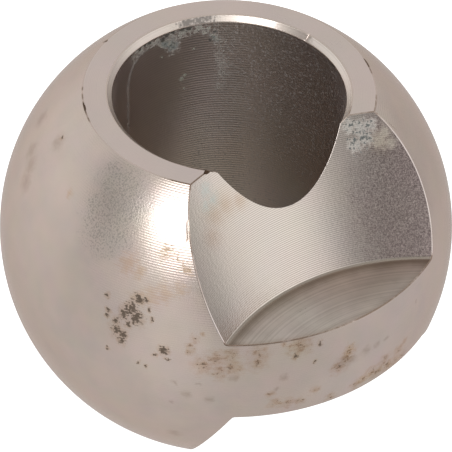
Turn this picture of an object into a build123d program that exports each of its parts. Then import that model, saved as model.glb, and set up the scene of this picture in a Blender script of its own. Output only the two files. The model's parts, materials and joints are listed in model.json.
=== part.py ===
from build123d import *
from math import radians, sqrt, tan
import os

# The whole ball is one turned piece. The origin is the ball's centre, +Z runs along the bore and +X points out
# through the middle of the tongue that the two relief cuts leave standing.

# Ball, and the bore through it for a 27.8 mm pin, with a lead-in at each mouth
BALL_DIAMETER = 56.0
BORE_DIAMETER = 28.0
LEAD_IN_DEPTH = 0.7
LEAD_IN_GROWTH = 0.7

# Flat ring around each mouth, whose width sets how far apart the two flats lie (43.6 mm here)
FLAT_RING_WIDTH = 2.87
FLAT_EDGE_BREAK = 0.2

# Tongue, and the relief cut on each side of it, turned about an axis that runs beside the ball, parallel to the bore.
# The lower cut was made in a second setting, which stands a little round the bore from the first.
TONGUE_THICKNESS = 12.0
TONGUE_ROOT_WALL = 4.8
RELIEF_FLOOR_RADIUS = 26.8
RELIEF_WALL_SLOPE = 30.0
RELIEF_OVERRUN = 3.0
LOWER_RELIEF_TURN = 2.2
SHOULDER_FILLET = 0.4

ball_radius = BALL_DIAMETER / 2
bore_radius = BORE_DIAMETER / 2
mouth_radius = bore_radius + LEAD_IN_GROWTH
flat_radius = mouth_radius + FLAT_RING_WIDTH
half_width = sqrt(ball_radius**2 - flat_radius**2)
lead_in_start = half_width - LEAD_IN_DEPTH
floor_height = TONGUE_THICKNESS / 2
shoulder_distance = bore_radius + TONGUE_ROOT_WALL
relief_axis_distance = shoulder_distance + RELIEF_FLOOR_RADIUS
relief_top = half_width + RELIEF_OVERRUN
relief_top_growth = (relief_top - floor_height) * tan(radians(RELIEF_WALL_SLOPE))

with BuildPart() as swivel_ball:
    # Half section of the ball, spun about the bore's axis
    with BuildSketch(Plane.XZ) as ball_section:
        with BuildLine():
            ThreePointArc((flat_radius, -half_width), (ball_radius, 0), (flat_radius, half_width))
            Polyline(
                (flat_radius, half_width),
                (mouth_radius, half_width),
                (bore_radius, lead_in_start),
                (bore_radius, -lead_in_start),
                (mouth_radius, -half_width),
                (flat_radius, -half_width),
            )
        make_face()
    revolve(axis=Axis.Z)

    # The corner between the ball and each flat is broken with a file
    flats = swivel_ball.faces().filter_by(Axis.Z)
    chamfer([flat.outer_wire().edge() for flat in flats], FLAT_EDGE_BREAK)

    # Each relief is a flat-bottomed cone that flares away from the tongue
    with BuildSketch(Plane.XZ) as upper_relief_section:
        with BuildLine():
            Polyline(
                (relief_axis_distance, floor_height),
                (shoulder_distance, floor_height),
                (shoulder_distance - relief_top_growth, relief_top),
                (relief_axis_distance, relief_top),
                close=True,
            )
        make_face()
        shoulder = upper_relief_section.vertices().sort_by(Axis.X)[1]
        fillet(shoulder, SHOULDER_FILLET)
    revolve(axis=Axis((relief_axis_distance, 0, 0), (0, 0, 1)), mode=Mode.SUBTRACT)

    # The lower section is the upper one mirrored across the tongue's middle plane, which holds the sketch's X axis
    lower_plane = Plane.XZ.rotated((0, 0, LOWER_RELIEF_TURN))
    with BuildSketch(lower_plane) as lower_relief_section:
        add(mirror(upper_relief_section.sketch_local, about=Plane.XZ, mode=Mode.PRIVATE))
    lower_axis = Axis(lower_plane.from_local_coords((relief_axis_distance, 0, 0)), (0, 0, 1))
    revolve(axis=lower_axis, mode=Mode.SUBTRACT)

swivel_ball.part.label = "swivel_ball"

os.makedirs("parts", exist_ok=True)
export_step(swivel_ball.part, "parts/swivel_ball.step")
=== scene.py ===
"""A turned swivel ball of plated steel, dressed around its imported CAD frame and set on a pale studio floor.

The frame's origin is the ball's centre, +Z runs along the bore and +X points out through the middle of
the tongue. Meshes are in metres, and the shaders work in millimetres.
"""

import json
import logging
from collections.abc import Callable, Sequence
from dataclasses import dataclass
from enum import Enum
from math import cos, pi, radians, sin, sqrt, tan

import bmesh
import bpy
import numpy as np
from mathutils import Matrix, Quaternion, Vector


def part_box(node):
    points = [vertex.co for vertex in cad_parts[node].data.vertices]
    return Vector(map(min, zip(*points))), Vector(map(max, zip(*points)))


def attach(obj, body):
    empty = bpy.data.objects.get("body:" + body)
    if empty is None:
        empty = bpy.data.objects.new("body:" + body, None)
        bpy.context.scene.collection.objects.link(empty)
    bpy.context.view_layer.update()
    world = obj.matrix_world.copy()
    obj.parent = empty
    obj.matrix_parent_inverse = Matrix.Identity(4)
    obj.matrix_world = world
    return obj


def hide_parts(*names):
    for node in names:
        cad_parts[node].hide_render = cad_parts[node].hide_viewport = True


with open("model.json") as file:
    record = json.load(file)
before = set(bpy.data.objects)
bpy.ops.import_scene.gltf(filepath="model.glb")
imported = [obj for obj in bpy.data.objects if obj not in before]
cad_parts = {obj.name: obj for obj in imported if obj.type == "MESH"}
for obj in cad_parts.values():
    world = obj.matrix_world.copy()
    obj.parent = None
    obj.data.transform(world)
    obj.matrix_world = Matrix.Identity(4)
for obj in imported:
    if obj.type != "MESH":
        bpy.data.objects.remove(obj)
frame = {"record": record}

LOG = logging.getLogger("swivel_ball")
MILLIMETRES = 1000.0
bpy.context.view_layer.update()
MOUNTS = {mount["name"]: mount for mount in frame["record"]["mounts"]}
SKIN_RADIUS_MM = MOUNTS["ball_seat"]["dims"]["r_mm"]
BORE_RADIUS_MM = MOUNTS["bore"]["dims"]["r_mm"]

Colour = tuple[float, float, float, float]


class Surface(Enum):
    """The ball's machined surfaces. The value is the surface's material slot."""

    SKIN = 0
    FLAT = 1
    LEAD_IN = 2
    BORE = 3
    RELIEF_WALL = 4
    SHOULDER = 5
    TONGUE_FACE = 6
    EDGE = 7


class Signal:
    """A shader socket that takes part in ordinary arithmetic."""

    def __init__(self, bench: "NodeBench", socket: bpy.types.NodeSocket) -> None:
        """Keeps the socket and the bench that its node stands on."""
        self.bench = bench
        self.socket = socket

    def __add__(self, other: "Number") -> "Signal":
        """Adds a value."""
        return self.bench.math("ADD", self, other)

    __radd__ = __add__

    def __sub__(self, other: "Number") -> "Signal":
        """Takes a value away."""
        return self.bench.math("SUBTRACT", self, other)

    def __rsub__(self, other: "Number") -> "Signal":
        """Takes this signal away from a value."""
        return self.bench.math("SUBTRACT", other, self)

    def __mul__(self, other: "Number") -> "Signal":
        """Multiplies by a value."""
        return self.bench.math("MULTIPLY", self, other)

    __rmul__ = __mul__

    def __truediv__(self, other: "Number") -> "Signal":
        """Divides by a value."""
        return self.bench.math("DIVIDE", self, other)

    def __abs__(self) -> "Signal":
        """Drops the sign."""
        return self.bench.math("ABSOLUTE", self)


Number = float | Signal


class NodeBench:
    """A node tree and the one place where its nodes are made."""

    def __init__(self, tree: bpy.types.NodeTree) -> None:
        """Clears the tree."""
        self.tree = tree
        tree.nodes.clear()

    def node(
        self,
        kind: str,
        settings: dict[str, object] | None = None,
        sockets: dict[str | int, object] | None = None,
        output: str | int = 0,
    ) -> Signal | None:
        """Makes one node.

        Args:
            kind: The node's type.
            settings: The node's own properties, set before its sockets.
            sockets: Values or signals for its inputs, by name or number.
            output: The output to hand back.

        Returns:
            The chosen output, or None for a node that has no outputs.
        """
        made = self.tree.nodes.new(kind)
        for name, value in (settings or {}).items():
            setattr(made, name, value)
        for key, value in (sockets or {}).items():
            if isinstance(value, Signal):
                self.tree.links.new(value.socket, made.inputs[key])
            else:
                made.inputs[key].default_value = value
        return Signal(self, made.outputs[output]) if made.outputs else None

    def math(self, operation: str, *terms: Number) -> Signal:
        """Makes a Math node that joins the terms by the operation."""
        return self.node("ShaderNodeMath", {"operation": operation}, dict(enumerate(terms)))

    def vector(self, operation: str, *terms: object, output: str | int = 0) -> Signal:
        """Makes a Vector Math node that joins the terms by the operation."""
        return self.node("ShaderNodeVectorMath", {"operation": operation}, dict(enumerate(terms)), output)

    def step(self, value: Number, low: float, high: float, top: float = 1.0) -> Signal:
        """Rises smoothly from 0 at low to top at high, which may lie below low.

        Args:
            value: What is measured.
            low: The level at which it starts.
            high: The level at which it is full.
            top: How high it rises.

        Returns:
            The step.
        """
        settings = {"interpolation_type": "SMOOTHSTEP"}
        sockets = {"Value": value, "From Min": min(low, high), "From Max": max(low, high)}
        sockets |= {"To Min": 0.0 if low < high else top, "To Max": top if low < high else 0.0}
        return self.node("ShaderNodeMapRange", settings, sockets)

    def mix(self, share: Number, first: object, second: object, blend: str = "MIX") -> Signal:
        """Mixes two colours.

        Args:
            share: How much of the second colour shows, from 0 to 1.
            first: The colour at share 0.
            second: The colour at share 1.
            blend: The blend type.

        Returns:
            The mixed colour.
        """
        settings = {"data_type": "RGBA", "blend_type": blend}
        return self.node("ShaderNodeMix", settings, {0: share, 6: first, 7: second}, 2)

    def noise(self, place: Signal, size: float, detail: float = 2.0, output: str = "Fac") -> Signal:
        """Makes cloudy noise from 0 to 1. The place and the size of its features are in millimetres."""
        sockets = {"Vector": place, "Scale": 1.0 / size, "Detail": detail}
        return self.node("ShaderNodeTexNoise", None, sockets, output)

    def mottle(self, place: Signal, size: float, detail: float = 2.0) -> Signal:
        """Makes the same noise from -0.5 to 0.5."""
        return self.noise(place, size, detail) - 0.5

    def scratches(self, travel: Signal, size: float, detail: float = 2.0) -> Signal:
        """Makes noise from 0 to 1 that changes only with the tool's travel, both in millimetres."""
        sockets = {"W": travel, "Scale": 1.0 / size, "Detail": detail}
        return self.node("ShaderNodeTexNoise", {"noise_dimensions": "1D"}, sockets)

    def lines(self, travel: Signal, pitch: float, unevenness: float) -> Signal:
        """Makes tool lines from about -1 to 1.

        Args:
            travel: How far the tool travelled to each point, in millimetres.
            pitch: The distance between two lines, in millimetres.
            unevenness: How irregular the lines are, from 0 to 1.

        Returns:
            The height of the lines.
        """
        drift = self.scratches(travel, pitch * 7) * (6.0 * unevenness)
        regular = self.math("SINE", travel * (2 * pi / pitch) + drift)
        uneven = (self.scratches(travel, pitch * 0.8) - 0.5) * 3.0
        return regular * (1.0 - unevenness) + uneven * unevenness

    def spots(self, place: Signal, spots: Sequence["Spot"]) -> Signal:
        """Rises from 0 at the rim of each spot to 1 at its centre, and falls below 0 outside them all.

        Args:
            place: Object coordinates in millimetres.
            spots: The spots, at least one.

        Returns:
            The highest rise of all the spots.
        """
        field: Signal | None = None
        for spot in spots:
            gap = self.vector("DISTANCE", place, spot.centre_mm, output="Value")
            rise = 1.0 - gap / spot.radius_mm
            field = rise if field is None else self.math("MAXIMUM", field, rise)
        return field

    def beyond(self, place: Signal, arch: "ReflectionArch") -> tuple[Signal, Signal]:
        """Measures from an arch on the bore's wall, in millimetres.

        Args:
            place: A place on the wall.
            arch: The arch.

        Returns:
            How far the place lies outside the arch, and how far round the bore from the arch's middle.
        """
        turn = radians(arch.azimuth)
        x, y, z = self.axes(place)
        across = y * cos(turn) - x * sin(turn)
        rise = self.math("MAXIMUM", z - arch.spring_mm, 0.0)
        return self.length(across, rise) - arch.radius_mm, across

    def axes(self, place: Signal) -> tuple[Signal, Signal, Signal]:
        """Splits a place into its X, Y and Z."""
        split = self.node("ShaderNodeSeparateXYZ", None, {0: place}).socket.node
        return tuple(Signal(self, split.outputs[name]) for name in ("X", "Y", "Z"))

    def length(self, first: Signal, second: Signal) -> Signal:
        """Gives the length of a flat vector from its two parts."""
        return self.math("SQRT", first * first + second * second)


def grey(value: float) -> Colour:
    """Gives an opaque grey."""
    return (value, value, value, 1.0)


def deselect_all() -> None:
    """Leaves edit mode and deselects every object, the CAD nodes included."""
    if bpy.context.mode != "OBJECT":
        bpy.ops.object.mode_set(mode="OBJECT")
    bpy.ops.object.select_all(action="DESELECT")


def pick(obj: bpy.types.Object) -> None:
    """Makes an object the only selected one, and the active one.

    Args:
        obj: The object.
    """
    deselect_all()
    obj.select_set(True)
    bpy.context.view_layer.objects.active = obj


def select_points(wanted: Callable[[Vector], bool]) -> None:
    """Selects the points of the mesh in edit mode that a test wants, with the edges between them.

    Args:
        wanted: The test, on a point's place.
    """
    shape = bmesh.from_edit_mesh(bpy.context.edit_object.data)
    for face in shape.faces:
        face.select = False
    for edge in shape.edges:
        edge.select = False
    for point in shape.verts:
        point.select = wanted(point.co)
    for edge in shape.edges:
        if all(point.select for point in edge.verts):
            edge.select = True
    bmesh.update_edit_mesh(bpy.context.edit_object.data)


def put_in_order(mesh: bpy.types.Mesh) -> None:
    """Sorts a mesh's points, edges and faces by place, because a cut leaves them in no fixed order.

    Args:
        mesh: The mesh.
    """
    shape = bmesh.new()
    shape.from_mesh(mesh)
    by_place = sorted(shape.verts, key=lambda point: tuple(point.co))
    ranks = {point: rank for rank, point in enumerate(by_place)}
    shape.verts.sort(key=lambda point: ranks[point])
    for items in (shape.edges, shape.faces):
        ordered = sorted(items, key=lambda item: sorted(ranks[point] for point in item.verts))
        places = {item: rank for rank, item in enumerate(ordered)}
        items.sort(key=lambda item: places[item])
    shape.to_mesh(mesh)
    shape.free()


def read_rows(items: bpy.types.bpy_prop_collection, field: str) -> np.ndarray:
    """Reads a vector from each point, face or corner of a mesh, into one row for each.

    Args:
        items: The mesh's points, faces or corners.
        field: The name of the vector.

    Returns:
        The rows.
    """
    values = np.zeros(len(items) * 3, np.float32)
    items.foreach_get(field, values)
    return values.reshape(-1, 3).astype(float)


def read_numbers(items: bpy.types.bpy_prop_collection, field: str) -> np.ndarray:
    """Reads a whole number from each point, face or corner of a mesh.

    Args:
        items: The mesh's points, faces or corners.
        field: The name of the number.

    Returns:
        The numbers.
    """
    values = np.zeros(len(items), np.int32)
    items.foreach_get(field, values)
    return values


def turn_about_z(rows: np.ndarray, turns: np.ndarray) -> np.ndarray:
    """Turns each row about Z by its own angle.

    Args:
        rows: One row for each point or direction.
        turns: The angles.

    Returns:
        The turned rows.
    """
    x, y, z = rows.T
    across, ahead = np.cos(turns), np.sin(turns)
    return np.stack((x * across - y * ahead, x * ahead + y * across, z), 1)


@dataclass(frozen=True)
class Spot:
    """A round mark with its centre in the frame. Both sizes are in millimetres."""

    centre_mm: tuple[float, float, float]
    radius_mm: float


def on_skin(*marks: tuple[float, float, float]) -> tuple[Spot, ...]:
    """Places marks on the ball's skin.

    Args:
        marks: For each mark, its azimuth from the tongue and its latitude in degrees, and its radius.

    Returns:
        The marks, in the same order.
    """
    spots = []
    for azimuth, latitude, radius_mm in marks:
        turn, rise = radians(azimuth), radians(latitude)
        ring = SKIN_RADIUS_MM * cos(rise)
        spots.append(Spot((ring * cos(turn), ring * sin(turn), SKIN_RADIUS_MM * sin(rise)), radius_mm))
    return tuple(spots)


def in_bore(*marks: tuple[float, float, float]) -> tuple[Spot, ...]:
    """Places marks on the bore's wall.

    Args:
        marks: For each mark, its azimuth from the tongue in degrees, its height and its radius.

    Returns:
        The marks, in the same order.
    """
    spots = []
    for azimuth, height_mm, radius_mm in marks:
        turn = radians(azimuth)
        spots.append(Spot((BORE_RADIUS_MM * cos(turn), BORE_RADIUS_MM * sin(turn), height_mm), radius_mm))
    return tuple(spots)


def placed(*marks: tuple[float, float, float, float]) -> tuple[Spot, ...]:
    """Places marks by their X, Y and Z, each with its radius."""
    return tuple(Spot((x, y, z), radius_mm) for x, y, z, radius_mm in marks)


@dataclass(frozen=True)
class ReflectionArch:
    """A round-topped patch in the bore that the crust keeps clear of, so that its bare metal paints a dark
    reflection, at an azimuth in degrees. Its top springs at a height.
    """

    azimuth: float
    spring_mm: float
    radius_mm: float


@dataclass(frozen=True)
class Nick:
    """A small dent knocked into an edge. Its places and sizes are in millimetres."""

    centre_mm: tuple[float, float, float]
    run_mm: tuple[float, float, float]
    length_mm: float
    width_mm: float
    dirty: bool = True


NICKS = (
    Nick((11.15, -9.9, 21.95), (0.27, -1.26, 0.0), 1.3, 0.8),
    Nick((-4.10, 13.82, 21.6), (-0.20, 0.68, 0.70), 1.4, 0.36, False),
    Nick((15.25, -15.15, 18.28), (1.96, -1.04, -2.5), 4.4, 0.62, False),
    Nick((4.1, 17.15, 21.82), (-0.97, 0.23, 0.0), 1.6, 0.36),
    Nick((-6.2, -16.4, 21.84), (0.93, -0.35, 0.0), 1.4, 0.32),
    Nick((-15.75, -7.85, 21.80), (0.45, -0.89, 0.0), 0.5, 0.4),
    Nick((-11.5, 13.3, -21.84), (0.75, 0.66, 0.0), 1.8, 0.4),
    Nick((-2.0, -17.5, -21.82), (0.99, -0.11, 0.0), 1.2, 0.36),
)
PIT_SPOTS = on_skin(
    (-55.5, 21.0, 1.0), (-53.5, 21.5, 0.4), (-57.0, 18.0, 1.3), (-58.5, 16.0, 1.1),
    (-55.0, 16.0, 1.1), (-60.5, 13.5, 0.7), (-57.0, 13.5, 0.6), (-60.0, 11.0, 1.1),
    (-58.0, 10.5, 0.8), (-58.5, 8.5, 0.7), (-64.0, 19.0, 0.5), (-63.0, 15.5, 0.5),
    (-63.0, 14.0, 0.4), (-62.0, 4.5, 0.35), (-52.0, 19.0, 0.4), (-51.0, 16.5, 0.4),
    (-47.5, 9.0, 0.75), (-46.5, 6.5, 0.3), (-49.5, 7.0, 0.4), (-53.5, 3.5, 0.3), (-51.5, 3.0, 0.3),
    (-15.0, 7.5, 0.45), (-8.5, 9.5, 0.40), (-10.0, 4.5, 0.30), (-153.5, 50.5, 0.30),
    (-106.0, 42.5, 0.30), (95.0, 12.0, 0.90), (99.0, 9.5, 0.60), (148.0, -14.0, 1.10),
    (151.5, -11.0, 0.70), (-128.0, -22.0, 0.70), (-170.0, 24.0, 0.50),
)
RUST_SPOTS = on_skin(
    (-40.0, 13.5, 0.7), (-41.0, 11.5, 0.6), (-41.0, 10.0, 0.7), (-38.0, 15.0, 0.4),
    (-37.5, 6.0, 1.5), (-34.5, 8.0, 1.5), (-33.5, 4.5, 1.3), (-31.0, 9.5, 1.3), (-30.5, 6.0, 1.5),
    (-24.0, 9.5, 1.3), (-24.5, 7.0, 1.3), (-18.0, 12.0, 0.6), (-14.0, 10.5, 1.8), (-0.5, 4.0, 1.0),
    (-1.5, 2.0, 1.2), (-3.5, 0.0, 1.2), (7.5, -8.0, 1.3), (11.5, -6.5, 1.2), (16.5, -6.5, 1.2),
    (2.5, -9.5, 1.0), (5.0, -9.0, 1.2), (9.5, -9.0, 1.3), (13.0, -9.5, 1.2), (16.0, -10.0, 1.3),
    (19.0, -10.0, 0.9), (18.5, -4.5, 0.6), (-21.0, -4.0, 0.7), (-19.5, -7.5, 1.1),
    (-16.5, -8.0, 1.0), (-13.5, -8.5, 0.9), (-9.5, -5.5, 0.8), (-5.0, -10.5, 0.8),
    (112.0, -8.0, 1.6), (160.0, 6.0, 1.2), (-140.0, 4.0, 1.4), (-110.0, -18.0, 1.0),
)
SMUDGE_SPOTS = on_skin(
    (-110.0, 30.0, 1.7), (-107.5, 26.5, 1.8), (-114.5, 31.5, 1.5), (-123.5, 36.0, 1.5),
    (-106.0, 41.0, 1.4), (-1.5, 1.0, 1.4), (-3.0, 0.5, 1.0), (0.5, 1.0, 0.9), (4.5, 1.5, 0.9),
    (8.0, 1.5, 0.7), (11.0, 1.5, 0.5), (-18.0, 1.5, 0.7), (-36.0, -5.0, 0.8), (-41.5, -4.0, 0.8),
    (-44.5, -0.5, 0.5), (-45.5, -8.0, 0.5), (-45.5, -23.5, 1.2), (-30.0, 2.5, 0.7),
    (-19.5, -2.0, 0.5), (-38.5, 0.0, 0.4), (22.5, 6.0, 0.4), (130.0, 20.0, 1.5),
    (178.0, -20.0, 1.8),
)
TINT_SPOTS = on_skin(
    (-60.0, 29.0, 1.7), (-56.5, 28.0, 1.2), (-52.0, 22.5, 1.7), (-48.5, 24.5, 1.6),
    (-44.5, 26.0, 1.2), (-87.5, 36.0, 0.7), (140.0, 30.0, 2.6),
)
GRIME_SPOTS = on_skin(
    (-50.0, 34.0, 1.8), (-46.5, 33.5, 1.0), (-43.5, 31.0, 1.3), (-0.5, 4.5, 1.1), (-1.0, 3.0, 1.0),
    (4.0, -9.0, 1.0), (7.0, -8.5, 1.2), (10.0, -9.0, 1.2), (13.5, -9.5, 1.2), (17.5, -10.0, 1.0),
)
RIM_DIRT_SPOTS = placed(
    (-9.3, -14.8, 21.8, 0.6), (-8.0, -15.6, 21.8, 0.9), (-6.7, -16.2, 21.8, 1.0),
    (-5.4, -16.7, 21.8, 1.0), (-4.1, -17.0, 21.8, 0.8), (5.6, 16.6, 21.8, 0.8),
    (-13.0, 11.8, -21.8, 1.0),
)
DULL_SPOTS = on_skin(
    (-71.5, 44.5, 5.0), (-71.0, 39.5, 5.0), (-70.5, 34.5, 5.0), (-66.5, 41.0, 4.2),
    (-67.0, 35.5, 4.2),
)
WALL_CRUST_SPOTS = placed(
    (11.6, 9.6, 20.7, 1.4), (12.2, 10.7, 20.3, 1.6), (12.5, 11.9, 20.4, 1.3),
    (13.0, 10.9, 19.1, 1.5), (12.9, 9.6, 18.6, 1.3),
)
WALL_PALE_SPOTS = placed(
    (13.8, 12.6, 18.7, 1.7), (14.5, 13.6, 18.3, 1.2), (13.7, 13.3, 19.5, 1.2),
)
WALL_TEAL_SPOTS = placed(
    (12.3, -11.0, 20.3, 1.4), (12.9, -10.4, 19.0, 1.4), (13.3, -11.5, 18.9, 1.2),
)
WALL_STAIN_SPOTS = placed(
    (13.2, -8.8, 17.7, 1.9), (13.0, -6.6, 17.2, 1.4), (13.9, -10.6, 17.5, 2.2),
    (15.0, -12.0, 15.5, 1.8), (14.0, 12.6, 18.6, 1.8),
)
LEAD_IN_DULL_SPOTS = placed(
    (-13.7, 4.4, 21.4, 2.6), (-14.0, 2.6, 21.3, 1.6),
)
LEAD_IN_DIRT_SPOTS = placed(
    (-6.5, 12.8, 21.4, 2.4), (-4.9, 13.5, 21.4, 2.0),
)
BORE_CRUST_SPOTS = in_bore(
    (-157.5, 20.9, 0.6), (-162.5, 20.7, 0.8), (-168.0, 20.5, 1.0), (-173.5, 20.4, 1.2),
    (-177.0, 19.6, 1.4), (179.5, 19.2, 1.6), (176.5, 18.6, 1.3), (177.5, 20.4, 1.3),
    (172.5, 20.3, 1.2), (168.0, 20.5, 1.1), (163.5, 20.4, 1.3), (159.5, 20.0, 1.4),
    (157.0, 18.8, 1.2),
)
BORE_SPECK_SPOTS = in_bore(
    (155.5, 18.0, 1.7), (153.5, 16.4, 1.7), (152.0, 14.6, 1.5), (151.5, 12.8, 1.3),
    (152.5, 11.0, 1.1), (-157.0, 20.2, 1.2), (-163.0, 20.0, 1.2), (-169.0, 19.8, 1.2),
)
BORE_TEAL_SPOTS = in_bore(
    (-177.5, 19.3, 1.1), (178.5, 18.8, 1.3), (156.5, 18.6, 0.9),
)
BORE_DARK_SPOTS = in_bore(
    (-161.0, 20.9, 0.40), (-165.0, 20.9, 0.40), (-168.0, 20.8, 0.45), (-176.5, 20.3, 0.50),
    (-179.0, 20.7, 0.45), (177.5, 20.9, 0.45), (172.5, 20.9, 0.50), (169.0, 20.8, 0.55),
    (155.0, 19.7, 0.35), (157.5, 18.4, 0.35),
)
# Arches whose bare insides paint a dark reflection in the bore.
LEFT_REFLECTION_ARCH = ReflectionArch(-166.3, 16.3, 3.75)
MIDDLE_REFLECTION_ARCH = ReflectionArch(164.7, 17.2, 2.4)
BORE_DROP_SPOTS = in_bore(
    (172.5, 13.0, 0.45), (170.6, 13.5, 0.35), (171.0, 11.4, 0.22), (-176.0, 17.6, 0.20),
    (166.0, 17.4, 0.22),
)


@dataclass(frozen=True)
class Stain:
    """A tint that leaves the metal in sight.

    It starts to show at one level of its field and is full at another, where it has its most strength.
    """

    tint: Colour
    starts: float
    full: float
    most: float = 1.0


@dataclass(frozen=True)
class Deposit:
    """Something on the plate or eaten into it. It shows by levels of its field, as a stain does."""

    colour: Colour
    starts: float
    full: float
    most: float
    roughness: float
    metallic: float
    height_mm: float = 0.0


PIT_BLACK: Colour = (0.070, 0.050, 0.034, 1.0)
RUST_HALO: Colour = (0.88, 0.785, 0.69, 1.0)
BORE_CHALK: Colour = (0.40, 0.385, 0.335, 1.0)
BORE_SOOT: Colour = (0.050, 0.046, 0.038, 1.0)
BORE_DUST: Colour = (0.34, 0.32, 0.30, 1.0)
EDGE_DIRT: Colour = (0.46, 0.40, 0.35, 1.0)


@dataclass
class Coat:
    """What a finish has laid on a surface so far. The height is in millimetres."""

    bench: NodeBench
    colour: Signal
    roughness: Number
    metallic: Number
    height: Number
    lines: Signal

    def cover(self, field: Signal, deposit: Deposit, within: Signal | None = None) -> None:
        """Lays a deposit over the surface.

        Args:
            field: What the deposit's levels are measured on.
            deposit: What is laid.
            within: A mask from 0 to 1 that keeps it to a part of the surface.
        """
        mask = self.bench.step(field, deposit.starts, deposit.full, deposit.most)
        if within is not None:
            mask = mask * within
        self.colour = self.bench.mix(mask, self.colour, deposit.colour)
        self.roughness = self.roughness + (deposit.roughness - self.roughness) * mask
        self.metallic = self.metallic + (deposit.metallic - self.metallic) * mask
        self.height = self.height + mask * deposit.height_mm

    def stain(self, field: Signal, stain: Stain) -> None:
        """Stains the surface by the levels of a field."""
        self.tint(self.bench.step(field, stain.starts, stain.full, stain.most), stain.tint)

    def tint(self, mask: Signal, colour: Colour) -> None:
        """Tints the surface under a mask, without hiding the metal."""
        self.colour = self.bench.mix(mask, self.colour, colour, "MULTIPLY")


@dataclass(frozen=True)
class Finish:
    """Satin nickel plate over a machined surface, with the tool lines that the cutter left."""

    name: str
    surface: Surface
    tint: Colour = (0.592, 0.497, 0.440, 1.0)
    roughness: float = 0.27
    pitch_mm: float = 0.30
    line_slope: float = 0.02
    unevenness: float = 0.5
    line_tone: float = 0.04
    line_patch_mm: float = 2.5
    faintest_line: float = 0.55
    line_range: float = 0.9
    worn_lines: float = 0.8
    grain_mm: float = 0.30
    grain_slope: float = 0.012
    grain_tone: float = 0.05
    grain_roughness: float = 0.08
    worn_grain: float = 3.0
    cloud_mm: float = 6.0
    cloud_tone: float = 0.08
    cloud_roughness: float = 0.06
    hue_tone: float = 0.07
    rim_tint: Colour = (0.93, 0.84, 0.79, 1.0)

    def travel(self, bench: NodeBench, place: Signal, ball: "SwivelBall") -> Signal:
        """Gives how far the tool travelled to each point, in millimetres. Here it went along the bore.

        Args:
            bench: The material's bench.
            place: Object coordinates in millimetres.
            ball: The ball; not used here.

        Returns:
            The distance across the tool lines.
        """
        return bench.axes(place)[2]

    def worn(self, bench: NodeBench, place: Signal) -> Number:
        """Gives where grain has taken the place of the tool lines, from 0 to 1. Here that is nowhere."""
        return 0.0

    def marks(self, coat: Coat, place: Signal, ball: "SwivelBall") -> None:
        """Lays the surface's own wear and dirt on the plate. A plain finish has none."""

    def make(self, ball: "SwivelBall") -> bpy.types.Material:
        """Makes the material.

        Args:
            ball: The ball, for its sizes.

        Returns:
            The finished material.
        """
        material = bpy.data.materials.new(self.name)
        material.use_nodes = True
        bench = NodeBench(material.node_tree)
        coordinates = bench.node("ShaderNodeTexCoord", output="Object")
        place = bench.vector("MULTIPLY", coordinates, (MILLIMETRES,) * 3)
        lines = bench.lines(self.travel(bench, place, ball), self.pitch_mm, self.unevenness)
        worn = self.worn(bench, place)
        crisp = 1.0 - worn * self.worn_lines
        strength = (self.faintest_line + bench.noise(place, self.line_patch_mm) * self.line_range) * crisp
        grain = bench.mottle(place, self.grain_mm, 3.0) * (1.0 + worn * self.worn_grain)
        cloud = bench.mottle(place, self.cloud_mm, 3.0)
        tone = 1.0 + lines * crisp * self.line_tone + grain * self.grain_tone + cloud * self.cloud_tone
        hues = bench.noise(place, self.cloud_mm, 2.0, "Color")
        drift = bench.vector("MULTIPLY_ADD", hues, (self.hue_tone,) * 3, (1.0 - self.hue_tone / 2,) * 3)
        shade = bench.node("ShaderNodeVectorMath", {"operation": "SCALE"}, {0: drift, "Scale": tone})
        coat = Coat(
            bench,
            colour=bench.mix(1.0, self.tint, shade, "MULTIPLY"),
            roughness=self.roughness + grain * self.grain_roughness + cloud * self.cloud_roughness,
            metallic=1.0,
            height=lines * strength * (self.line_slope * self.pitch_mm / (2 * pi))
            + grain * (self.grain_slope * self.grain_mm),
            lines=lines,
        )
        self.marks(coat, place, ball)
        height = coat.height / MILLIMETRES
        bump = bench.node("ShaderNodeBump", None, {"Strength": 1.0, "Distance": 1.0, "Height": height})
        sockets = {"Base Color": coat.colour, "Roughness": coat.roughness}
        sockets |= {"Metallic": coat.metallic, "Normal": bump, "Specular Tint": self.rim_tint}
        shader = bench.node("ShaderNodeBsdfPrincipled", None, sockets)
        bench.node("ShaderNodeOutputMaterial", None, {"Surface": shader})
        return material


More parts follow.
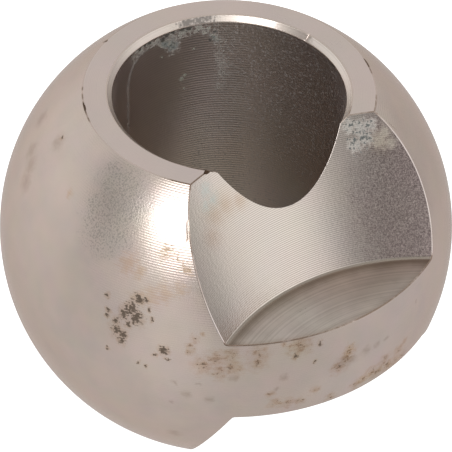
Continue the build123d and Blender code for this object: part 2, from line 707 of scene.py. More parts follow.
@dataclass(frozen=True)
class SkinFinish(Finish):
    """The turned outside of the ball, with pits, rust and smudges."""

    wander_mm: float = 0.9
    stray_mm: float = 1.2
    streak: tuple[float, float, float] = (0.85, 0.85, 1.4)
    fleck_mm: float = 0.30
    patch_mm: float = 0.7
    arc_margin: float = 1.0001
    dull_tint: Colour = (0.97, 1.0, 1.0, 1.0)
    dull_grit: Stain = Stain((0.70, 0.715, 0.70, 1.0), 0.0, 1.0)
    bloom: Stain = Stain((0.94, 0.84, 0.71, 1.0), -0.1, 1.0, 0.8)
    smudge: Stain = Stain((0.79, 0.76, 0.73, 1.0), -0.2, 1.1, 0.9)
    rust_halo: Stain = Stain(RUST_HALO, -0.4, 0.9, 0.9)
    pit_halo: Stain = Stain(RUST_HALO, -0.5, 0.7, 0.8)
    grime: Deposit = Deposit((0.36, 0.25, 0.15, 1.0), 0.3, 1.1, 0.75, roughness=0.5, metallic=0.5)
    rust: Deposit = Deposit((0.215, 0.125, 0.070, 1.0), 0.25, 1.1, 0.7, roughness=0.5, metallic=0.7)
    rust_speck: Deposit = Deposit(PIT_BLACK, 0.54, 0.80, 0.8, roughness=0.6, metallic=0.5)
    pit: Deposit = Deposit(PIT_BLACK, 0.22, 0.66, 0.92, roughness=0.65, metallic=0.35, height_mm=-0.006)

    def travel(self, bench: NodeBench, place: Signal, ball: "SwivelBall") -> Signal:
        """Gives the arc from the middle plane. The margin keeps the arcsine inside its range."""
        radius = ball.ball_radius * MILLIMETRES
        return bench.math("ARCSINE", bench.axes(place)[2] / (radius * self.arc_margin)) * radius

    def worn(self, bench: NodeBench, place: Signal) -> Signal:
        """Gives the dull patch beside the brightest place."""
        ragged = bench.mottle(place, 1.5, 3.0) * 0.8
        return bench.step(bench.spots(place, DULL_SPOTS) + ragged, -0.1, 0.8)

    def marks(self, coat: Coat, place: Signal, ball: "SwivelBall") -> None:
        """Lays pits, rust, smudges and tints as the photograph has them, and a few like them behind.

        Args:
            coat: The plate so far, which takes the marks.
            place: Object coordinates in millimetres.
            ball: The ball; not used here.
        """
        bench = coat.bench
        wander = bench.vector("SUBTRACT", bench.noise(place, self.wander_mm, 3.0, "Color"), (0.5, 0.5, 0.5))
        strayed = bench.vector("MULTIPLY_ADD", wander, (self.stray_mm,) * 3, place)
        streaked = bench.vector("MULTIPLY", place, self.streak)
        flecks = bench.mottle(streaked, self.fleck_mm, 3.0)
        patches = bench.mottle(streaked, self.patch_mm, 4.0)
        dull = self.worn(bench, place)
        # The dull patch lies where a dark reflection falls beside the highlight: its darkening is painted
        # reflection, its specks are grain.
        coat.tint(dull, self.dull_tint)
        coat.stain(dull * (bench.mottle(place, 0.20, 2.0) * 5.5 + 0.30), self.dull_grit)
        coat.stain(bench.spots(strayed, TINT_SPOTS) + patches * 1.6 - coat.lines * 0.25, self.bloom)
        grime = bench.spots(strayed, GRIME_SPOTS) + patches * 0.8 + flecks * 2.2 - coat.lines * 0.3
        coat.cover(grime, self.grime)
        coat.stain(bench.spots(strayed, SMUDGE_SPOTS) + patches * 0.6 + flecks * 0.5, self.smudge)
        rust = bench.spots(strayed, RUST_SPOTS)
        coat.stain(rust + patches * 1.6, self.rust_halo)
        coat.cover(rust * 0.7 + patches * 2.0 + flecks * 1.4, self.rust)
        coat.cover(rust * 0.45 + flecks * 2.6, self.rust_speck)
        pits = bench.spots(strayed, PIT_SPOTS)
        coat.stain(pits + patches * 1.5, self.pit_halo)
        coat.cover(pits + flecks * 2.3, self.pit)


@dataclass(frozen=True)
class FlatFinish(Finish):
    """A faced ring around the bore's mouth."""

    def travel(self, bench: NodeBench, place: Signal, ball: "SwivelBall") -> Signal:
        """Gives the distance from the bore's axis."""
        x, y, _ = bench.axes(place)
        return bench.length(x, y)


@dataclass(frozen=True)
class LeadInFinish(FlatFinish):
    """The cone at the bore's mouth, dull with corrosion on one stretch and dirty on another."""

    shade: Stain = Stain((0.76, 0.75, 0.74, 1.0), -4.0, -10.0)
    dirt: Stain = Stain((0.54, 0.52, 0.505, 1.0), 0.0, 0.5)
    corrosion: Deposit = Deposit((0.19, 0.17, 0.155, 1.0), 0.0, 0.9, 0.85, 0.5, 0.5, height_mm=-0.004)

    def marks(self, coat: Coat, place: Signal, ball: "SwivelBall") -> None:
        """Dulls the side that is turned from the light, and lays the dirt and the corrosion.

        Args:
            coat: The plate so far, which takes the marks.
            place: Object coordinates in millimetres.
            ball: The ball; not used here.
        """
        bench = coat.bench
        coat.stain(bench.axes(place)[1], self.shade)
        grit = bench.mottle(place, 0.36, 3.0)
        coat.stain(bench.spots(place, LEAD_IN_DIRT_SPOTS) + grit * 0.6, self.dirt)
        coat.cover(bench.spots(place, LEAD_IN_DULL_SPOTS) + grit * 3.0, self.corrosion)


@dataclass(frozen=True)
class BoreFinish(Finish):
    """The bored wall: dark, ringed, with pale corrosion below its mouth that stops at two arches painting a
    dark reflection, and dust beside the middle arch.
    """

    oil: Stain = Stain((0.94, 0.88, 0.78, 1.0), 12.0, -4.0)
    shade: Stain = Stain((0.61, 0.60, 0.60, 1.0), 9.0, 13.5)
    crust: Deposit = Deposit(BORE_CHALK, 0.15, 1.0, 0.85, roughness=0.7, metallic=0.2, height_mm=0.006)
    chalk: Deposit = Deposit(BORE_CHALK, 0.25, 0.75, 0.62, roughness=0.7, metallic=0.2)
    teal: Deposit = Deposit((0.20, 0.235, 0.225, 1.0), 0.0, 0.9, 0.8, roughness=0.7, metallic=0.2)
    blob: Deposit = Deposit(BORE_SOOT, 0.05, 0.5, 0.9, roughness=0.7, metallic=0.2)
    dark_speck: Deposit = Deposit(BORE_SOOT, 0.4, 0.85, 0.75, roughness=0.7, metallic=0.2)
    reflection_rim: Deposit = Deposit(BORE_DUST, 0.42, 0.0, 0.42, roughness=0.6, metallic=0.3)
    film: Deposit = Deposit(BORE_DUST, 0.0, 0.22, 0.34, roughness=0.6, metallic=0.3)
    dust: Deposit = Deposit(BORE_DUST, 0.62, 0.72, 0.45, roughness=0.6, metallic=0.3)
    drop: Deposit = Deposit((0.36, 0.37, 0.29, 1.0), 0.1, 0.5, 0.8, 0.6, 0.1, height_mm=0.01)
    crisp_azimuth: float = radians(156.0)
    crisp_half: float = radians(8.0)
    faded_half: float = radians(21.0)
    dust_lean_height_mm: float = 12.0
    dust_lean: float = 0.25

    def worn(self, bench: NodeBench, place: Signal) -> Signal:
        """Gives where the rings fade, away from the stretch that faces the light.

        Args:
            bench: The material's bench.
            place: Object coordinates in millimetres.

        Returns:
            The faded stretch, from 0 to 1.
        """
        facing = (BORE_RADIUS_MM * cos(self.crisp_azimuth), BORE_RADIUS_MM * sin(self.crisp_azimuth), 0.0)
        along = bench.vector("DOT_PRODUCT", place, facing, output="Value") / BORE_RADIUS_MM**2
        return bench.step(along, cos(self.crisp_half), cos(self.faded_half))

    def marks(self, coat: Coat, place: Signal, ball: "SwivelBall") -> None:
        """Lays an oily tint, crust outside two arches whose bare insides paint a dark reflection, a dark line
        painted along the left arch's rim as that reflection's edge, dust and dried drops.

        Args:
            coat: The plate so far, which takes the marks.
            place: Object coordinates in millimetres.
            ball: The ball; not used here.
        """
        bench = coat.bench
        x, y, z = bench.axes(place)
        flecks = bench.mottle(place, 0.28, 4.0)
        grit = bench.mottle(place, 0.44, 2.0)
        fine = bench.mottle(place, 0.24, 2.0)
        coat.stain(z + flecks * 6.0, self.oil)
        # Painted shade: the bore darkens towards +Y.
        coat.stain(y, self.shade)
        # Painted reflection: the crust stops at the arches, so their bare metal shows darker than the crust.
        past_left, left_side = bench.beyond(place, LEFT_REFLECTION_ARCH)
        past_middle, middle_side = bench.beyond(place, MIDDLE_REFLECTION_ARCH)
        outside = bench.step(bench.math("MINIMUM", past_left, past_middle) + grit * 1.6, -0.2, 0.2)
        coat.cover(bench.spots(place, BORE_CRUST_SPOTS) + flecks * 1.2 + grit * 3.6, self.crust, outside)
        teal = bench.spots(place, BORE_TEAL_SPOTS)
        coat.cover(teal - grit * 3.0, self.teal, outside)
        coat.cover(bench.spots(place, BORE_DARK_SPOTS) + flecks * 2.0, self.blob)
        coat.cover(teal * 0.6 + bench.mottle(place, 0.34, 3.0) * 3.6, self.dark_speck, outside)
        far_wall = bench.step(x, -6.0, -9.0)
        # Painted reflection: a dark line along the left arch's rim.
        reflection_rim_side = bench.step(left_side, -0.5, 1.0) * bench.step(z, 4.0, 14.0) * far_wall
        coat.cover(abs(past_left + flecks * 0.5) + grit, self.reflection_rim, reflection_rim_side)
        coat.cover(bench.spots(place, BORE_SPECK_SPOTS) * 0.7 + fine * 3.6, self.chalk, outside)
        lean = bench.math("MAXIMUM", self.dust_lean_height_mm - z, 0.0) * self.dust_lean
        beyond_middle_arch = middle_side + MIDDLE_REFLECTION_ARCH.radius_mm - lean
        dusty = bench.step(beyond_middle_arch + grit * 1.2, 0.3, -0.3) * bench.step(y, 1.0, 3.0)
        coat.cover(fine + flecks * 0.3, self.film, bench.step(z, -10.0, 14.0) * dusty)
        coat.cover(bench.noise(place, 0.28, 1.0) + flecks * 0.25, self.dust, dusty)
        coat.cover(bench.spots(place, BORE_DROP_SPOTS) + flecks * 0.8, self.drop)


@dataclass(frozen=True)
class WallFinish(Finish):
    """A relief wall: fine rings, a grainy dull side, and crust near the bore's mouth."""

    dull_tint: Colour = (0.96, 0.91, 0.93, 1.0)
    dull_roughness: float = 0.06
    dull_grit: Stain = Stain((0.56, 0.53, 0.545, 1.0), 0.0, 1.0)
    shade: Stain = Stain((0.87, 0.88, 0.88, 1.0), -10.0, -16.0)
    brown: Stain = Stain((0.84, 0.76, 0.68, 1.0), -0.2, 1.2)
    teal: Deposit = Deposit((0.49, 0.545, 0.51, 1.0), 0.0, 1.2, 0.7, roughness=0.5, metallic=0.5)
    pale: Deposit = Deposit((0.48, 0.44, 0.36, 1.0), 0.0, 0.9, 0.6, roughness=0.55, metallic=0.5)
    crust: Deposit = Deposit((0.40, 0.39, 0.36, 1.0), 0.05, 0.8, 0.65, 0.7, 0.3, height_mm=0.012)
    blob: Deposit = Deposit((0.070, 0.084, 0.084, 1.0), 0.34, 0.80, 0.85, roughness=0.7, metallic=0.3)
    lean_height_mm: float = 13.0
    lean: float = 0.6

    def grainy(self, bench: NodeBench, place: Signal) -> Signal:
        """Gives the grainy side of the wall, from 0 to 1. Its border leans over near the top.

        Args:
            bench: The material's bench.
            place: Object coordinates in millimetres.

        Returns:
            The grainy side, from 0 to 1.
        """
        ragged = bench.mottle(place, 1.2, 4.0) * 4.0
        _, y, z = bench.axes(place)
        lean = bench.math("MAXIMUM", z - self.lean_height_mm, 0.0) * self.lean
        return bench.step(y + ragged - lean, 3.5, 12.0)

    def worn(self, bench: NodeBench, place: Signal) -> Signal:
        """Gives the grainy side, and the other side where the rings fade."""
        faded = bench.step(bench.axes(place)[1], -8.0, -12.5, 0.7)
        return bench.math("MAXIMUM", self.grainy(bench, place), faded)

    def marks(self, coat: Coat, place: Signal, ball: "SwivelBall") -> None:
        """Dulls one side, and lays stains, crust and dark blobs.

        Args:
            coat: The plate so far, which takes the marks.
            place: Object coordinates in millimetres.
            ball: The ball; not used here.
        """
        bench = coat.bench
        flecks = bench.mottle(place, 0.45, 4.0)
        dull = self.grainy(bench, place)
        coat.tint(dull, self.dull_tint)
        coat.stain(dull * (bench.mottle(place, 0.16, 2.0) * 5.0 + 0.58), self.dull_grit)
        # Painted shade: the wall darkens towards -Y.
        coat.stain(bench.axes(place)[1], self.shade)
        coat.roughness = coat.roughness + dull * self.dull_roughness
        coat.stain(bench.spots(place, WALL_STAIN_SPOTS) + flecks * 0.5 - coat.lines * 0.5, self.brown)
        coat.cover(bench.spots(place, WALL_TEAL_SPOTS) + flecks * 1.4 + coat.lines * 0.4, self.teal)
        coat.cover(bench.spots(place, WALL_PALE_SPOTS) + flecks * 1.2, self.pale)
        crust = bench.spots(place, WALL_CRUST_SPOTS)
        coat.cover(crust + flecks * 1.6, self.crust)
        coat.cover(crust * 0.6 + bench.mottle(place, 0.38, 3.0) * 3.6, self.blob)


@dataclass(frozen=True)
class ShoulderFinish(Finish):
    """The foot of a relief wall: a lip with a painted highlight over a groove with painted shade."""

    groove_shade_tint: Colour = (0.42, 0.40, 0.37, 1.0)
    lip_foot_mm: float = 0.10
    lip_top_mm: float = 0.18

    def marks(self, coat: Coat, place: Signal, ball: "SwivelBall") -> None:
        """Paints shade into the groove, and a highlight along the lip that fades towards +Y and breaks here
        and there.

        Args:
            coat: The plate so far, which takes the marks.
            place: Object coordinates in millimetres.
            ball: The ball, for its sizes.
        """
        bench = coat.bench
        flecks = bench.mottle(place, 1.4, 3.0)
        _, y, z = bench.axes(place)
        above_foot = abs(z) + flecks * 0.06 - ball.tongue_half * MILLIMETRES
        unbroken = bench.step(y + flecks * 8.0, 15.0, 4.0)
        # Painted highlight on the lip, painted shade in the groove below it.
        lip_highlight = bench.step(above_foot, self.lip_foot_mm, self.lip_top_mm) * unbroken
        coat.tint(1.0 - lip_highlight, self.groove_shade_tint)


@dataclass(frozen=True)
class TongueFinish(Finish):
    """A relief floor, faced with arcs about the relief's own axis, with painted shade along the shoulder."""

    arcs: Stain = Stain((0.74, 0.73, 0.72, 1.0), 0.25, 0.75)
    shoulder_shade: Stain = Stain((0.60, 0.58, 0.54, 1.0), -1.9, -0.4)
    rim_dirt: Stain = Stain((0.86, 0.83, 0.80, 1.0), -0.9, 0.0)

    def travel(self, bench: NodeBench, place: Signal, ball: "SwivelBall") -> Signal:
        """Gives the distance from the axis that the relief was turned about."""
        x, y, _ = bench.axes(place)
        return bench.length(x - ball.relief_axis * MILLIMETRES, y)

    def marks(self, coat: Coat, place: Signal, ball: "SwivelBall") -> None:
        """Darkens the arcs, a band of painted shade along the shoulder, and the rim.

        Args:
            coat: The plate so far, which takes the marks.
            place: Object coordinates in millimetres.
            ball: The ball, for its sizes.
        """
        bench = coat.bench
        travel = self.travel(bench, place, ball)
        along = bench.mottle(place, 2.2, 2.0)
        fine, broad = bench.scratches(travel, 0.2, 3.0), bench.scratches(travel, 0.55, 2.0)
        coat.stain(fine * 0.7 + broad * 0.3 + along * 0.3, self.arcs)
        # Painted shade: a darker band along the shoulder.
        coat.stain(travel + along * 0.6 - ball.relief_floor_radius * MILLIMETRES, self.shoulder_shade)
        coat.stain(bench.vector("LENGTH", place, output="Value") - SKIN_RADIUS_MM, self.rim_dirt)


@dataclass(frozen=True)
class EdgeFinish(Finish):
    """The broken edges: brightened where they rub, as wear and a painted highlight; dirty around the tongue
    and the flats, with painted shade on one shaded stretch; dark in the nicks.
    """

    rubbed_highlight_tint: Colour = (1.24, 1.30, 1.36, 1.0)
    dirt: Stain = Stain(EDGE_DIRT, 0.45, 1.1)
    nick_dirt: Stain = Stain((0.30, 0.25, 0.21, 1.0), 0.2, 0.6)
    rim_dirt: Stain = Stain(EDGE_DIRT, 0.0, 0.8, 0.8)

    def marks(self, coat: Coat, place: Signal, ball: "SwivelBall") -> None:
        """Brightens the relief's edges as rubbed wear and a painted highlight, and lays the dirt, with
        painted shade added on the shaded stretch.

        Args:
            coat: The plate so far, which takes the marks.
            place: Object coordinates in millimetres.
            ball: The ball, for its sizes.
        """
        bench = coat.bench
        flecks = bench.mottle(place, 0.5, 3.0)
        runs = bench.mottle(place, 2.4, 2.0)
        x, y, z = bench.axes(place)
        high, floor, flat = abs(z), ball.tongue_half * MILLIMETRES, ball.half_width * MILLIMETRES
        beside_wall = bench.step(high, flat - 0.6, flat - 1.0) * bench.step(high, floor + 0.3, floor + 0.9)
        shaded = bench.step(y, -9.0, -12.0) * bench.step(z, 9.0, 13.0) * bench.step(x, 9.5, 11.0)
        # Rubbed wear and painted highlight: the wall's edges brighten, except on the shaded stretch.
        coat.tint(beside_wall * (1.0 - shaded) * bench.step(runs, -0.3, 0.1), self.rubbed_highlight_tint)
        around_tongue = bench.step(high, floor + 0.5, floor + 0.2)
        around_flats = bench.step(high, flat - 0.6, flat - 0.3) * bench.step(x, 4.0, 12.0, 0.8)
        # The dirt is real, but its extra share on the shaded stretch is painted shade.
        coat.stain(around_tongue + around_flats + shaded * 0.6 + flecks * 0.9 + runs * 1.2, self.dirt)
        nicks = [Spot(nick.centre_mm, nick.length_mm) for nick in NICKS if nick.dirty]
        coat.stain(bench.spots(place, nicks) + flecks, self.nick_dirt)
        coat.stain(bench.spots(place, RIM_DIRT_SPOTS) + flecks, self.rim_dirt)


@dataclass
class SwivelBall:
    """The ball with its bore, flats and reliefs. Sizes are in metres and angles in radians."""

    ball_radius: float
    half_width: float
    bore_radius: float
    tongue_half: float
    lead_in_depth: float = 0.0007
    lead_in_growth: float = 0.0007
    root_wall: float = 0.0048
    relief_floor_radius: float = 0.0268
    relief_slope: float = radians(30.0)
    relief_overrun: float = 0.003
    lower_relief_turn: float = radians(2.2)
    shoulder_fillet: float = 0.0004
    edge_break: float = 0.00011
    sharp_corner: float = radians(28.0)
    same_way: float = 0.85
    folded_way: float = 0.3
    fold_rounds: int = 4
    most_points: float = 0.7
    merge_breaks: float = 1.1
    crowd_breaks: float = 2.0
    section_points: int = 400
    spin_steps: int = 320
    relief_steps: int = 512
    relief_rings: int = 15
    bore_cuts: int = 60
    flat_cuts: int = 6
    fillet_segments: int = 5
    edge_segments: int = 2
    dent_detail: int = 3
    name: str = "swivel_ball_dressed"

    @classmethod
    def from_frame(cls) -> "SwivelBall":
        """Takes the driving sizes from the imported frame's box and mounts."""
        return cls(
            ball_radius=SKIN_RADIUS_MM / MILLIMETRES,
            half_width=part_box("swivel_ball")[1].z,
            bore_radius=BORE_RADIUS_MM / MILLIMETRES,
            tongue_half=MOUNTS["tongue_upper_face"]["pos_m"][2],
        )

    @property
    def flat_radius(self) -> float:
        """Outer radius of the flats."""
        return sqrt(self.ball_radius**2 - self.half_width**2)

    @property
    def mouth_radius(self) -> float:
        """Radius of the bore's mouth at the flat."""
        return self.bore_radius + self.lead_in_growth

    @property
    def lead_in_start(self) -> float:
        """Height at which the lead-in leaves the bore."""
        return self.half_width - self.lead_in_depth

    @property
    def relief_axis(self) -> float:
        """Distance from the bore's axis to the axis that the reliefs are turned about."""
        return self.bore_radius + self.root_wall + self.relief_floor_radius

    @property
    def fillet_reach(self) -> float:
        """How far the shoulder's fillet reaches from its corner, along the floor and up the wall."""
        return self.shoulder_fillet * tan(pi / 4 - self.relief_slope / 2)

    @property
    def close(self) -> float:
        """How near a point must lie to a place to count as there while the ball is cut."""
        return self.edge_break / 10

    @property
    def touch(self) -> float:
        """How near a point of the finished mesh must lie to a surface to count as on it."""
        return self.edge_break / 20

    def relief_radius(self, height: float | np.ndarray) -> float | np.ndarray:
        """Gives the relief wall's radius about its own axis at a height above the middle plane."""
        return self.relief_floor_radius + (height - self.tongue_half) * tan(self.relief_slope)

    def build(self) -> bpy.types.Object:
        """Models the ball.

        Returns:
            The ball's object, with one material slot for each surface.
        """
        ball = self._spin_section()
        for surface in Surface:
            ball.data.materials.append(bpy.data.materials.new(surface.name.lower()))
        for side in (1, -1):
            self._cut_relief(ball, side)
        self._break_edges(ball)
        self._knock_nicks(ball)
        for _ in range(self.fold_rounds):
            self._close_folds(ball.data)
        self._sort_faces(ball.data)
        self._set_true_normals(ball.data)
        return ball

    def _spin_section(self) -> bpy.types.Object:
        """Draws the half section and spins it about the bore's axis.

        Returns:
            The ball's object, still without its reliefs.
        """
        deselect_all()
        bpy.ops.mesh.primitive_circle_add(
            vertices=self.section_points, radius=self.ball_radius, rotation=(pi / 2, 0, 0)
        )
        ball = bpy.context.object
        ball.name = ball.data.name = self.name
        bpy.ops.object.transform_apply(location=False, rotation=True, scale=False)
        bpy.ops.object.mode_set(mode="EDIT")
        trims = (
            ((0, 0, self.half_width), (0, 0, 1)),
            ((0, 0, -self.half_width), (0, 0, -1)),
            ((0, 0, 0), (-1, 0, 0)),
        )
        for place, outward in trims:
            bpy.ops.mesh.select_all(action="SELECT")
            bpy.ops.mesh.bisect(
                plane_co=place, plane_no=outward, clear_outer=True, threshold=self.close / 100
            )
        corners = (
            (self.flat_radius, self.half_width),
            (self.mouth_radius, self.half_width),
            (self.bore_radius, self.lead_in_start),
            (self.bore_radius, -self.lead_in_start),
            (self.mouth_radius, -self.half_width),
            (self.flat_radius, -self.half_width),
        )
        start = Vector((corners[0][0], 0, corners[0][1]))
        select_points(lambda point: (point - start).length < self.close)
        for here, there in zip(corners, corners[1:]):
            move = (there[0] - here[0], 0, there[1] - here[1])
            bpy.ops.mesh.extrude_region_move(TRANSFORM_OT_translate={"value": move})
        self._subdivide(lambda point: abs(point.x - self.bore_radius) < self.close, self.bore_cuts)
        for side in (1, -1):
            flat = side * self.half_width
            self._subdivide(lambda point: abs(point.z - flat) < self.close, self.flat_cuts)
        bpy.ops.mesh.select_all(action="SELECT")
        bpy.ops.mesh.spin(steps=self.spin_steps, angle=2 * pi, center=(0, 0, 0), axis=(0, 0, 1))
        bpy.ops.mesh.select_all(action="SELECT")
        bpy.ops.mesh.remove_doubles(threshold=self.close / 10)
        bpy.ops.mesh.normals_make_consistent(inside=False)
        bpy.ops.object.mode_set(mode="OBJECT")
        return ball

    @staticmethod
    def _subdivide(wanted: Callable[[Vector], bool], cuts: int) -> None:
        """Cuts the edges between the wanted points into shorter ones."""
        select_points(wanted)
        bpy.ops.mesh.subdivide(number_cuts=cuts)

    def _cut_relief(self, ball: bpy.types.Object, side: int) -> None:
        """Cuts one relief out of the ball.

        Args:
            ball: The ball.
            side: 1 for the relief above the tongue, -1 for the one below.
        """
        top = self.half_width + self.relief_overrun
        wide = self.relief_radius(top)
        ends = (self.relief_floor_radius, wide)[::side]
        deselect_all()
        bpy.ops.mesh.primitive_cone_add(
            vertices=self.relief_steps,
            radius1=ends[0],
            radius2=ends[1],
            depth=top - self.tongue_half,
            location=(self.relief_axis, 0, side * (top + self.tongue_half) / 2),
        )
        cutter = bpy.context.object
        bpy.ops.object.transform_apply(location=True, rotation=True, scale=True)
        bpy.ops.object.mode_set(mode="EDIT")
        select_points(lambda point: abs(point.z - side * self.tongue_half) < self.close)
        bpy.ops.mesh.bevel(offset=self.fillet_reach, segments=self.fillet_segments, affect="EDGES")
        shape = bmesh.from_edit_mesh(cutter.data)
        bpy.ops.mesh.select_mode(type="EDGE")
        bpy.ops.mesh.select_all(action="DESELECT")
        for edge in shape.edges:
            edge.select = abs(edge.verts[0].co.z - edge.verts[1].co.z) > self.tongue_half
        bmesh.update_edit_mesh(cutter.data)
        bpy.ops.mesh.subdivide(number_cuts=self.relief_rings)
        bpy.ops.object.mode_set(mode="OBJECT")
        if side < 0:
            cutter.rotation_euler.z = self.lower_relief_turn
            bpy.ops.object.transform_apply(location=False, rotation=True, scale=False)
        self._cut(ball, cutter)

    def _break_edges(self, ball: bpy.types.Object) -> None:
        """Rounds every corner a little, as a file and plating do.

        Args:
            ball: The ball's object.
        """
        pick(ball)
        bpy.ops.object.mode_set(mode="EDIT")
        self._select_corners()
        bpy.ops.mesh.remove_doubles(threshold=self.edge_break * self.merge_breaks)
        self._select_corners()
        shape = bmesh.from_edit_mesh(ball.data)
        on_cut = {point.index for point in shape.verts if point.select}
        places = np.array([tuple(point.co) for point in shape.verts])
        gaps = self.surface_gaps(places)
        turned = self.relief_places(places)
        inside = np.hypot(turned[:, 0] - self.relief_axis, turned[:, 1]) < self.relief_floor_radius
        near = self.edge_break * self.crowd_breaks
        on_shoulder = gaps[Surface.SHOULDER] < self.close
        beside_floor = inside & (gaps[Surface.TONGUE_FACE] < near) & ~on_shoulder
        beside_wall = (gaps[Surface.RELIEF_WALL] < near) & ~inside & ~on_shoulder
        beside_wall &= (np.abs(places[:, 2]) > self.tongue_half) & (places[:, 0] > 0)
        others = (Surface.SKIN, Surface.BORE, Surface.LEAD_IN, Surface.FLAT)
        beside_others = np.min([gaps[surface] for surface in others], axis=0) < near
        beside_wall &= beside_others | (gaps[Surface.RELIEF_WALL] > self.close)
        bpy.ops.mesh.select_all(action="DESELECT")
        bpy.ops.mesh.select_mode(type="VERT")
        for point in shape.verts:
            crowding = beside_floor[point.index] or beside_wall[point.index]
            point.select = bool(crowding) and point.index not in on_cut
        bmesh.update_edit_mesh(ball.data)
        bpy.ops.mesh.dissolve_verts()
        bpy.ops.object.mode_set(mode="OBJECT")
        soften = ball.modifiers.new("edge_break", "BEVEL")
        soften.width = self.edge_break
        soften.segments = self.edge_segments
        soften.limit_method = "ANGLE"
        soften.angle_limit = self.sharp_corner
        soften.use_clamp_overlap = False
        soften.material = Surface.EDGE.value
        bpy.ops.object.modifier_apply(modifier=soften.name)

    def _close_folds(self, mesh: bpy.types.Mesh) -> None:
        """Draws in the shortest edges of slivers that the cuts folded over, and fills what stays open.

        Args:
            mesh: The ball's mesh.
        """
        shape = bmesh.new()
        shape.from_mesh(mesh)
        shape.faces.ensure_lookup_table()
        shape.verts.ensure_lookup_table()
        gaps = self.surface_gaps(np.array([tuple(point.co) for point in shape.verts]))
        middles = np.array([tuple(face.calc_center_median()) for face in shape.faces])
        ways = np.array([tuple(face.normal) for face in shape.faces])
        short = []
        for surface, gap in gaps.items():
            against = (self.true_normals(surface, middles) * ways).sum(1) < self.folded_way
            for index in np.flatnonzero(against):
                face = shape.faces[index]
                if all(gap[point.index] < self.touch for point in face.verts):
                    short.append(min(face.edges, key=lambda edge: edge.calc_length()))
        bmesh.ops.collapse(shape, edges=list(dict.fromkeys(short)))
        bmesh.ops.dissolve_degenerate(shape, dist=self.edge_break / 50, edges=shape.edges[:])
        bmesh.ops.holes_fill(shape, edges=[edge for edge in shape.edges if edge.is_boundary], sides=0)
        shape.to_mesh(mesh)
        shape.free()

    def _knock_nicks(self, ball: bpy.types.Object) -> None:
        """Knocks the nicks into the edges, all with one cut.

        Args:
            ball: The ball's object.
        """
        deselect_all()
        dents = []
        for nick in NICKS:
            bpy.ops.mesh.primitive_ico_sphere_add(subdivisions=self.dent_detail, radius=0.5 / MILLIMETRES)
            dent = bpy.context.object
            dent.scale = (nick.width_mm, nick.width_mm, nick.length_mm)
            dent.rotation_mode = "QUATERNION"
            dent.rotation_quaternion = Vector(nick.run_mm).to_track_quat("Z", "Y")
            dent.location = Vector(nick.centre_mm) / MILLIMETRES
            bpy.ops.object.transform_apply(location=True, rotation=True, scale=True)
            dents.append(dent)
        for dent in dents:
            dent.select_set(True)
        bpy.ops.object.join()
        self._cut(ball, bpy.context.object)

    @staticmethod
    def _cut(ball: bpy.types.Object, cutter: bpy.types.Object) -> None:
        """Cuts the cutter's shape out of the ball, and throws the cutter away.

        Args:
            ball: The ball's object.
            cutter: The object to cut with.
        """
        pick(ball)
        cut = ball.modifiers.new("cut", "BOOLEAN")
        cut.operation = "DIFFERENCE"
        cut.solver = "EXACT"
        cut.object = cutter
        bpy.ops.object.modifier_apply(modifier=cut.name)
        bpy.data.objects.remove(cutter)
        put_in_order(ball.data)

    def _select_corners(self) -> None:
        """Selects the sharp corners of the mesh in edit mode."""
        bpy.ops.mesh.select_mode(type="EDGE")
        bpy.ops.mesh.select_all(action="DESELECT")
        bpy.ops.mesh.edges_select_sharp(sharpness=self.sharp_corner)

    def relief_places(self, points: np.ndarray) -> np.ndarray:
        """Turns what lies below the middle plane about the bore, to where both reliefs stand in line.

        Args:
            points: One row for each point.

        Returns:
            The turned points.
        """
        return turn_about_z(points, np.where(points[:, 2] < 0, -self.lower_relief_turn, 0.0))

    def surface_gaps(self, points: np.ndarray) -> dict[Surface, np.ndarray]:
        """Measures how far points lie from each of the ball's true surfaces.

        Args:
            points: One row for each point.

        Returns:
            The distances, for each surface but the edges.
        """
        x, y, z = points.T
        high = np.abs(z)
        ring = np.hypot(x, y)
        turned = self.relief_places(points)
        about = np.hypot(turned[:, 0] - self.relief_axis, turned[:, 1])
        lead_slope = self.lead_in_growth / self.lead_in_depth
        lead = self.bore_radius + (high - self.lead_in_start) * lead_slope
        fillet_ring = about - (self.relief_floor_radius - self.fillet_reach)
        fillet_high = high - (self.tongue_half + self.shoulder_fillet)
        return {
            Surface.SKIN: np.abs(np.linalg.norm(points, axis=1) - self.ball_radius),
            Surface.FLAT: np.abs(high - self.half_width),
            Surface.LEAD_IN: np.abs(ring - lead) / sqrt(1 + lead_slope**2),
            Surface.BORE: np.abs(ring - self.bore_radius),
            Surface.RELIEF_WALL: np.abs(about - self.relief_radius(high)) * cos(self.relief_slope),
            Surface.SHOULDER: np.abs(np.hypot(fillet_ring, fillet_high) - self.shoulder_fillet),
            Surface.TONGUE_FACE: np.abs(high - self.tongue_half),
        }

    def _sort_faces(self, mesh: bpy.types.Mesh) -> None:
        """Gives each face the material slot of the surface that it lies on.

        Args:
            mesh: The ball's mesh.
        """
        slots = read_numbers(mesh.polygons, "material_index")
        ways = read_rows(mesh.polygons, "normal")
        middles = read_rows(mesh.polygons, "center")
        gaps = self.surface_gaps(read_rows(mesh.vertices, "co"))
        order = (
            Surface.SKIN,
            Surface.BORE,
            Surface.LEAD_IN,
            Surface.RELIEF_WALL,
            Surface.SHOULDER,
            Surface.TONGUE_FACE,
            Surface.FLAT,
        )
        along = {
            surface: (self.true_normals(surface, middles) * ways).sum(1) > self.same_way
            for surface in order
        }
        for face in mesh.polygons:
            if slots[face.index] == Surface.EDGE.value:
                continue
            corners = list(face.vertices)
            slots[face.index] = Surface.EDGE.value
            for surface in order:
                share = (gaps[surface][corners] < self.touch).mean()
                if along[surface][face.index] and share > self.most_points:
                    slots[face.index] = surface.value
                    break
        mesh.polygons.foreach_set("material_index", slots)

